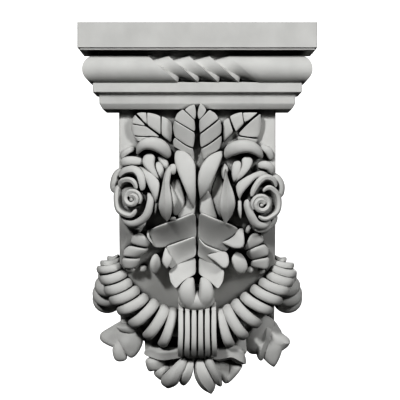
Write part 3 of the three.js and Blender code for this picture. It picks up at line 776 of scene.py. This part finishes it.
class CORBEL_OT_swag(bpy.types.Operator):
    """Makes the wound swag on the front and both sides, and its ribbed tie"""

    bl_idname = "corbel.swag"
    bl_label = "Swag and tie"

    # Each turn of the front as its inner and outer end, across and down, and half its thickness.
    left = table("""
    -79,150/-92,152.5/2.6;
    -76.6,153.5/-99,157.5/3.2;
    -75,158.5/-102.5,164/4;
    -71.5,166.5/-99,175/5;
    -66,175.5/-94.5,186/5.2;
    -58.5,183/-89,196.3/5.2;
    -49.5,190.5/-81,206.8/5.4;
    -39.5,194.5/-67.6,221/5.6;
    -29.5,199/-51.6,233.4/5.6;
    -21.5,201/-35,241.4/5.2;
    """)
    right = table("""
    77.5,151/91,153.5/2.6;
    74,155/98.5,160/3.4;
    72.5,161/101,168.5/4.2;
    69.5,168/97.5,177.5/5;
    62,175/93.5,186.5/5.2;
    53.5,181.5/85.5,196.5/5.2;
    43.5,189/75.5,206.5/5.4;
    34.5,194.5/62.6,220.6/5.6;
    26.5,198.5/48,233.4/5.6;
    20.5,201.5/32.6,241.6/5.2;
    """)
    # Half the depth of each turn, from the side in, and how far out the turns lie at the side and from the sixth on.
    depths = (10, 13, 16, 17.5, 18.5, 19.5, 20, 20, 20, 19.5)
    out_side, out_front = 101, 111
    # The core inside them; then the line along the bracket's side, with its turns, their radii and their fatness.
    core = table("90 158 102, 82 173 106, 70 192 108, 47 210 110, 22 220 112, 0 223 112;")[0][0]
    flank = table("90 163 94, 93 184 76, 93 194 50, 92 184 24, 88 166 6;")[0][0]
    flank_turns, flank_radii, flank_fatness = 8, (11, 14.5, 15, 14.5, 11), 0.62
    # The tie's core, and the two parts of each rib with the spread of the ribs in place of squares across.
    tie_core = table("0 193 108, 0 226 114, 0 250 104;")[0][0]
    ribs = table("0.98 196 116, 0.99 200 124, 1 205 130; 1 203 128, 1 214 134, 1 226 136, 1.03 238 134, 1.06 249 122;")
    rib_pitch = 6.7

    def execute(self, context):
        forms = Forms("swag")
        for side, turns in ((-1, self.left), (1, self.right)):
            for i, (inner, outer, thick) in enumerate(turns):
                out = self.out_side + (self.out_front - self.out_side) * min(i / 5, 1)
                disc(forms, at(*inner, out), at(*outer, out), 1.06 * thick, self.depths[i])
            stroke(forms, both(side, self.core), (6, 9, 11, 12, 12, 12), 9, rooted=False, rows=24)
            flank = both(side, self.flank)
            wound(forms, flank, self.flank_turns, self.flank_radii, self.flank_fatness)
            stroke(forms, flank, 8, 8, rooted=False)
        tie = {"rooted": False, "square": 5, "back": 12}
        stroke(forms, placed(self.tie_core), 19, 10, blunt=8, **tie)
        ribs = settings().carving.ribs
        for i in range(ribs):
            across = (i - (ribs - 1) / 2) * self.rib_pitch
            for (line,) in self.ribs:
                points = placed([(across * f, down, out) for f, down, out in line])
                stroke(forms, points, 2.7, 3, blunt=6, **tie)
        return {"FINISHED"}


class CORBEL_OT_pendant(bpy.types.Operator):
    """Makes the leaves that hang below the swag, and the folded ends at the bracket's foot"""

    bl_idname = "corbel.pendant"
    bl_label = "Hanging leaves"

    # Each fold as its two edges, its bulge and its ridge: the hanging leaves, then the left folded end and the right.
    folds = table("""
    -8 243 112,-26 244.3 114,-37 245 111,-46 242.2 106,-54 242.8 99/-8 251 104,-26 251.6 102,-36 253 100,
    -46 251.4 96,-54 249.4 92/3.5/3;
    -32 252 96,-45 252.4 104,-54 253 100/-31 264 90,-42 264.6 98,-49.6 266.4 95/5/0;
    -26 258 94,-38.6 261 100,-46 267.6 94/-25 269 88,-32 272 94,-36.6 275 90/5/0;
    -12 249 108,-22 257 112,-31 265.6 110,-37.4 274.6 102,-33 280.6 94/-9 252 110,-12 262 115,-16.6 270.6 113,
    -19.2 277 106,-26 280.8 95/5.5/1.5;
    -8.4 249 108,-12.4 261 115,-16.4 270 113,-18.6 278.6 102/-4 251 104,-5.6 262 106,-7.6 271 102,-13.6 280 95/
    4.5/1.5;
    10 243 112,20 242.6 114,35 239.4 112,46 245 106,51 255.5 96/12 253 102,22 255 101,33 253.4 99,41 257.6 96,
    48 259.6 93/3.5/3.5;
    31 256.6 94,31.6 265 93,27.5 276 86/47.6 259 90,42.6 266 89,30.4 280 84/4.5/0;
    17 253 95,20 265 95,27.6 279 87/33 255 93,35.4 262 91,30 279 85/3.5/0;
    5 247 108,8.4 258 115,13 268 113,19 280.6 101/11 247 108,17 257 112,23 268 108,26.4 281 97/5.5/2;
    1 249 106,-2.4 261 106,-2 271 105,4 281.6 100,14 287.2 94/7 250 108,9 261 115,13.6 271 113,18.6 279 104,
    16 287.4 94/5.5/2;
    -4 246 106,-9 254 106,-9 262 100/5 246 106,0 254 106,-3 262 100/4/2;
    -76 213 80,-90 221.6 80,-100.6 228.4 78/-70 243 86,-86 242 84,-99.6 236 80/5/0;
    -80 218 80,-82 231 82,-87 243 84,-85 257.4 82/-70 218 80,-72 231 84,-73 245 86,-70.6 255.6 84/4.5/0;
    -89 221 80,-84.6 231 84,-77 243 87,-69 254.6 86/-62 215 84,-56.6 228 90,-56.4 238 92,-60.4 248.6 89/4.5/0;
    -66 222 86,-61 229 85,-55 236 80/-62 216 86,-56 226 84,-51.6 234.6 80/3.5/0;
    -84 219.6 90,-73 219.8 93,-61.6 221.4 92/-80 224 88,-71 226.8 90,-60 228.4 88/3/0;
    70 214 88,84 225 86,95.4 233.5 80/74 246 86,84 246.6 82,94 240 79/5/2;
    56 214 86,58 236 86,67 252 80,77 262 76/86 218 86,88 238 85,85.4 250 81,80 262 76/6/0;
    64 206 88,54 224 88,47.4 239.4 82/82 214 88,70 244 88,54 250 80/5/1.5;
    66 220 91,64 232 92,60 244 89,62 255 82/76 220 91,75 232 91,70 245 89,67.6 256 82/3/2;
    """)
    # Cores behind them: the boss under the tie, the stems of the leaves, the block across and the knot at each side.
    boss = table("0 206 80, 0 234 88, 0 258 78;")[0][0]
    stems = table("""
    -14 244 88,-26 258 86,-40 259 82;
    -14 246 90,-22 260 92,-28 270 88;
    10 244 88,24 260 86,42 261 84;
    8 246 92,15 262 94,21 274 88;
    """)
    block = table("-54 240 82, 0 238 88, 51 240 82;")[0][0]
    knot = table("66 212 72, 74 230 76, 76 243 74;")[0][0]

    def execute(self, context):
        forms = Forms("pendant")
        boss_back = (70, 70, 30)
        stroke(forms, placed(self.boss), (40, 38, 16), (20, 20, 12), back=boss_back, rooted=False, blunt=3)
        for (stem,) in self.stems:
            stroke(forms, placed(stem), (9, 9, 7), 9, rooted=False)
        stroke(forms, placed(self.block), 13, 8, back=40, rooted=False, square=3, blunt=5)
        for side in (-1, 1):
            stroke(forms, both(side, self.knot), (12, 12, 8), 8, rooted=False)
        blades(forms, self.folds, ("face", "keel"), square=2.4, back=9, rooted=False, rows=18, blunt=3.5)
        return {"FINISHED"}


def drop(thing):
    mesh = thing.data
    bpy.data.objects.remove(thing)
    if mesh.users == 0:
        bpy.data.meshes.remove(mesh)


def fused(pools):
    """One object that is the union of every form in the collections, which go."""
    things = [thing for pool in pools for thing in pool.objects]
    piece = things[0]
    rest = bpy.data.collections.new("rest")
    bpy.context.scene.collection.children.link(rest)
    for thing in things[1:]:
        rest.objects.link(thing)
    union = piece.modifiers.new("union", "BOOLEAN")
    union.operation = "UNION"
    union.solver = "MANIFOLD"
    union.operand_type = "COLLECTION"
    union.collection = rest
    bpy.context.scene.collection.objects.link(piece)
    applied(piece)
    for thing in things[1:]:
        drop(thing)
    for pool in (rest, *pools):
        bpy.data.collections.remove(pool)
    return piece


def gathered(items, attribute, size=1, kind=float):
    """One attribute of all of a mesh's items, as an array with a row for each."""
    values = np.empty(len(items) * size, kind)
    items.foreach_get(attribute, values)
    return values.reshape(-1, size) if size > 1 else values


def shells(mesh):
    """The shell that each corner of the mesh belongs to, and the volume each shell encloses."""
    edges = gathered(mesh.edges, "vertices", 2, int)
    label = np.arange(len(mesh.vertices))
    while True:
        low = np.minimum(label[edges[:, 0]], label[edges[:, 1]])
        before = label.copy()
        np.minimum.at(label, edges[:, 0], low)
        np.minimum.at(label, edges[:, 1], low)
        label = label[label]
        if np.array_equal(before, label):
            break
    mesh.calc_loop_triangles()
    corners = gathered(mesh.loop_triangles, "vertices", 3, int)
    a, b, c = gathered(mesh.vertices, "co", 3)[corners].transpose(1, 0, 2)
    volume = np.zeros(len(mesh.vertices))
    np.add.at(volume, label[corners[:, 0]], np.einsum("ij,ij->i", a, np.cross(b, c)) / 6)
    return label, volume


# Volume of the largest shell that is a speck left by the union, in cubic metres.
SPECK = 1e-11


def without_pockets(thing):
    """Fills the pockets closed in between the forms; a form that hangs loose is an error."""
    mesh = thing.data
    label, volume = shells(mesh)
    names = np.unique(label)
    loose = [name for name in names[np.argsort(-volume[names])][1:] if volume[name] > SPECK]
    if loose:
        places = [[round(1000 * v, 1) for v in mesh.vertices[int(i)].co] for i in loose]
        raise RuntimeError(f"loose forms near {places}, of {volume[loose]}")
    gone = np.isin(label, names[volume[names] <= SPECK])
    if gone.any():
        work = bmesh.new()
        work.from_mesh(mesh)
        work.verts.ensure_lookup_table()
        bmesh.ops.delete(work, geom=[work.verts[i] for i in np.nonzero(gone)[0]], context="VERTS")
        work.to_mesh(mesh)
        work.free()


def creased(mesh, angle=40, broad_angle=20, broad=60 * MILLIMETRE**2):
    """Smooths the mesh but for its sharp edges. Round a broad face a smaller angle counts as sharp, to keep it flat."""
    edges = gathered(mesh.loops, "edge_index", kind=int)
    faces = np.repeat(np.arange(len(mesh.polygons)), gathered(mesh.polygons, "loop_total", kind=int))
    normals = gathered(mesh.polygons, "normal", 3)[faces]
    total = np.stack([np.bincount(edges, normals[:, k], len(mesh.edges)) for k in range(3)])
    cosine = (total**2).sum(axis=0) / 2 - 1
    widest = np.zeros(len(mesh.edges))
    np.maximum.at(widest, edges, gathered(mesh.polygons, "area")[faces])
    sharp = cosine < math.cos(math.radians(angle))
    sharp |= (widest > broad) & (cosine < math.cos(math.radians(broad_angle)))
    mesh.polygons.foreach_set("use_smooth", np.ones(len(mesh.polygons), bool))
    mesh.edges.foreach_set("use_edge_sharp", sharp)


# Scale and detail of the noises for the plaster's tone and for its grain, and how far each reaches.
MOTTLE = (38, 5)
MOTTLE_DARK, MOTTLE_PALE = (0.3, 0.93), (0.7, 1.05)
GRAIN = (900, 4)
GRAIN_STRENGTH = 0.12
GRAIN_DEPTH = 0.4 * MILLIMETRE
SPECULAR = 0.35
# Painted shade in hollows: how far a point looks round itself, and how open it is where that painted shade is darkest
# and where it ends.
PAINTED_SHADE_DISTANCE = 12 * MILLIMETRE
PAINTED_SHADE_SHUT, PAINTED_SHADE_OPEN = 0.24, 0.5
PAINTED_SHADE_TONE = 0.01


def plaster_material(finish):
    """Matte plaster: a little uneven in tone, with painted shade darkening its hollows, and a fine cast grain."""
    material = bpy.data.materials.new("cast_plaster")
    material.use_nodes = True
    nodes, links = material.node_tree.nodes, material.node_tree.links
    nodes.clear()
    output = nodes.new("ShaderNodeOutputMaterial")
    shader = nodes.new("ShaderNodeBsdfPrincipled")
    shader.inputs["Roughness"].default_value = finish.roughness
    shader.inputs["Specular IOR Level"].default_value = SPECULAR
    links.new(shader.outputs[0], output.inputs[0])
    coordinates = nodes.new("ShaderNodeTexCoord")

    def noise(scale, detail):
        node = nodes.new("ShaderNodeTexNoise")
        node.inputs["Scale"].default_value = scale
        node.inputs["Detail"].default_value = detail
        links.new(coordinates.outputs["Object"], node.inputs["Vector"])
        return node.outputs["Fac"]

    def ramp(factor, *stops):
        node = nodes.new("ShaderNodeValToRGB")
        for element, (place, tone) in zip(node.color_ramp.elements, stops):
            element.position = place
            element.color = (*tone, 1)
        links.new(factor, node.inputs["Fac"])
        return node.outputs["Color"]

    colour = np.array(finish.colour)
    tones = [(place, np.minimum(colour * share, 1)) for place, share in (MOTTLE_DARK, MOTTLE_PALE)]
    tone = ramp(noise(*MOTTLE), *tones)
    # Painted shade: the colour is darkened towards black where ambient occlusion finds the surface closed in.
    seen = nodes.new("ShaderNodeAmbientOcclusion")
    seen.samples = 8
    seen.inputs["Distance"].default_value = PAINTED_SHADE_DISTANCE
    painted_shade = ramp(seen.outputs["AO"], (PAINTED_SHADE_SHUT, (PAINTED_SHADE_TONE,) * 3), (PAINTED_SHADE_OPEN, (1, 1, 1)))
    tone_with_painted_shade = nodes.new("ShaderNodeMix")
    tone_with_painted_shade.data_type = "RGBA"
    tone_with_painted_shade.blend_type = "MULTIPLY"
    tone_with_painted_shade.inputs[0].default_value = 1
    # The colour sockets of this node come after its numbers and vectors of the same names.
    links.new(tone, tone_with_painted_shade.inputs[6])
    links.new(painted_shade, tone_with_painted_shade.inputs[7])
    links.new(tone_with_painted_shade.outputs[2], shader.inputs["Base Color"])
    bump = nodes.new("ShaderNodeBump")
    bump.inputs["Strength"].default_value = GRAIN_STRENGTH
    bump.inputs["Distance"].default_value = GRAIN_DEPTH
    links.new(noise(*GRAIN), bump.inputs["Height"])
    links.new(bump.outputs["Normal"], shader.inputs["Normal"])
    return material


POOLS = ("plain", "roll", "leaves", "petals", "roses", "long_leaf", "swag", "pendant")


class CORBEL_OT_casting(bpy.types.Operator):
    """Fuses the raw forms into one plaster casting that stands for the corbel"""

    bl_idname = "corbel.casting"
    bl_label = "Casting"

    def execute(self, context):
        pools = [pool for pool in bpy.data.collections if pool.name in POOLS]
        if len(pools) < len(POOLS):
            raise RuntimeError("make the forms before the casting")
        piece = fused(pools)
        piece.name = piece.data.name = "plaster_corbel"
        without_pockets(piece)
        creased(piece.data)
        piece.data.materials.clear()
        piece.data.materials.append(plaster_material(settings().finish))
        piece.data.polygons.foreach_set("material_index", np.zeros(len(piece.data.polygons), int))
        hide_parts(NODE)
        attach(piece, "root")
        return {"FINISHED"}


def shown(name, data):
    """A new object in the scene."""
    thing = bpy.data.objects.new(name, data)
    bpy.context.scene.collection.objects.link(thing)
    return thing


def lit_from(name, place, target, watts, size):
    """A round area light at a place, turned to its target."""
    data = bpy.data.lights.new(name, "AREA")
    data.energy = watts
    data.shape = "DISK"
    data.size = size
    thing = shown(name, data)
    thing.location = place
    thing.rotation_mode = "QUATERNION"
    thing.rotation_quaternion = (Vector(target) - thing.location).to_track_quat("-Z", "Y")


def sky_world(strength):
    """A world that is white to look at and lights the piece only weakly."""
    world = bpy.data.worlds.new("studio")
    world.use_nodes = True
    nodes, links = world.node_tree.nodes, world.node_tree.links
    nodes.clear()
    output = nodes.new("ShaderNodeOutputWorld")
    seen = nodes.new("ShaderNodeLightPath")
    mix = nodes.new("ShaderNodeMixShader")
    links.new(seen.outputs["Is Camera Ray"], mix.inputs[0])
    for socket, glow in ((1, strength), (2, 1.0)):
        background = nodes.new("ShaderNodeBackground")
        background.inputs["Color"].default_value = (1, 1, 1, 1)
        background.inputs["Strength"].default_value = glow
        links.new(background.outputs[0], mix.inputs[socket])
    links.new(mix.outputs[0], output.inputs[0])
    return world


class CORBEL_OT_studio(bpy.types.Operator):
    """Makes the pale floor, the soft lights and the camera"""

    bl_idname = "corbel.studio"
    bl_label = "Studio"

    # The floor's half breadth and how far it lies below the corbel, in metres.
    floor_span = 4.0
    floor_drop = 0.9
    # What the lights are turned to, and each light's setting, place and breadth.
    heart = (0.0, -0.1, -0.02)
    lights = (
        ("key", (-2.1, -4.9, 2.7), 0.7),
        ("fill", (3.4, -4.6, 2.2), 1.6),
        ("behind", (1.2, 2.6, 1.0), 0.9),
    )
    # Where the camera stands across and up, the breadth it sees at the slab's front, and that front's depth.
    camera_x, camera_z = 0.0027, -0.0175
    view_breadth = 0.4
    slab_front = 0.19
    sensor = 36

    def floor(self):
        span, low = self.floor_span, LOW[2] - self.floor_drop
        mesh = bpy.data.meshes.new("floor")
        corners = [(-span, -span, low), (span, -span, low), (span, span, low), (-span, span, low)]
        mesh.from_pydata(corners, [], [(0, 1, 2, 3)])
        mesh.update()
        paper = bpy.data.materials.new("paper")
        paper.use_nodes = True
        shader = paper.node_tree.nodes["Principled BSDF"]
        shader.inputs["Base Color"].default_value = (0.9, 0.9, 0.9, 1)
        shader.inputs["Roughness"].default_value = 0.9
        shader.inputs["Emission Color"].default_value = (1, 1, 1, 1)
        shader.inputs["Emission Strength"].default_value = 1.0
        mesh.materials.append(paper)
        ground = shown("floor", mesh)
        ground.visible_diffuse = False
        ground.visible_glossy = False

    def camera(self, distance):
        data = bpy.data.cameras.new("camera")
        data.sensor_width = self.sensor
        data.lens = self.sensor * (distance - self.slab_front) / self.view_breadth
        data.clip_end = 50
        camera = shown("camera", data)
        camera.location = (self.camera_x, -distance, self.camera_z)
        camera.rotation_euler = (math.pi / 2, 0, 0)
        return camera

    def execute(self, context):
        studio = settings().studio
        scene = context.scene
        scene.view_settings.view_transform = "Standard"
        scene.view_settings.look = "High Contrast"
        scene.world = sky_world(studio.sky)
        self.floor()
        for name, place, size in self.lights:
            lit_from(name, place, self.heart, getattr(studio, name), size)
        scene.camera = self.camera(studio.distance)
        return {"FINISHED"}


OPERATORS = (
    CORBEL_OT_bracket,
    CORBEL_OT_roll,
    CORBEL_OT_leaves,
    CORBEL_OT_petals,
    CORBEL_OT_roses,
    CORBEL_OT_long_leaf,
    CORBEL_OT_swag,
    CORBEL_OT_pendant,
    CORBEL_OT_casting,
    CORBEL_OT_studio,
)
GROUPS = (CapSizes, CarvingSizes, PlasterFinish, StudioSettings, CorbelSettings)


class CORBEL_PT_panel(bpy.types.Panel):
    bl_idname = "CORBEL_PT_panel"
    bl_label = "Corbel"
    bl_space_type = "VIEW_3D"
    bl_region_type = "UI"
    bl_category = "Corbel"

    def draw(self, context):
        for operator in OPERATORS:
            self.layout.operator(operator.bl_idname)


def register():
    for item in (*GROUPS, *OPERATORS, CORBEL_PT_panel):
        bpy.utils.register_class(item)
    bpy.types.Scene.corbel = bpy.props.PointerProperty(type=CorbelSettings)


def unregister():
    del bpy.types.Scene.corbel
    for item in reversed((*GROUPS, *OPERATORS, CORBEL_PT_panel)):
        bpy.utils.unregister_class(item)


def main():
    register()
    for operator in OPERATORS:
        group, name = operator.bl_idname.split(".")
        getattr(getattr(bpy.ops, group), name)()


if __name__ == "__main__":
    main()
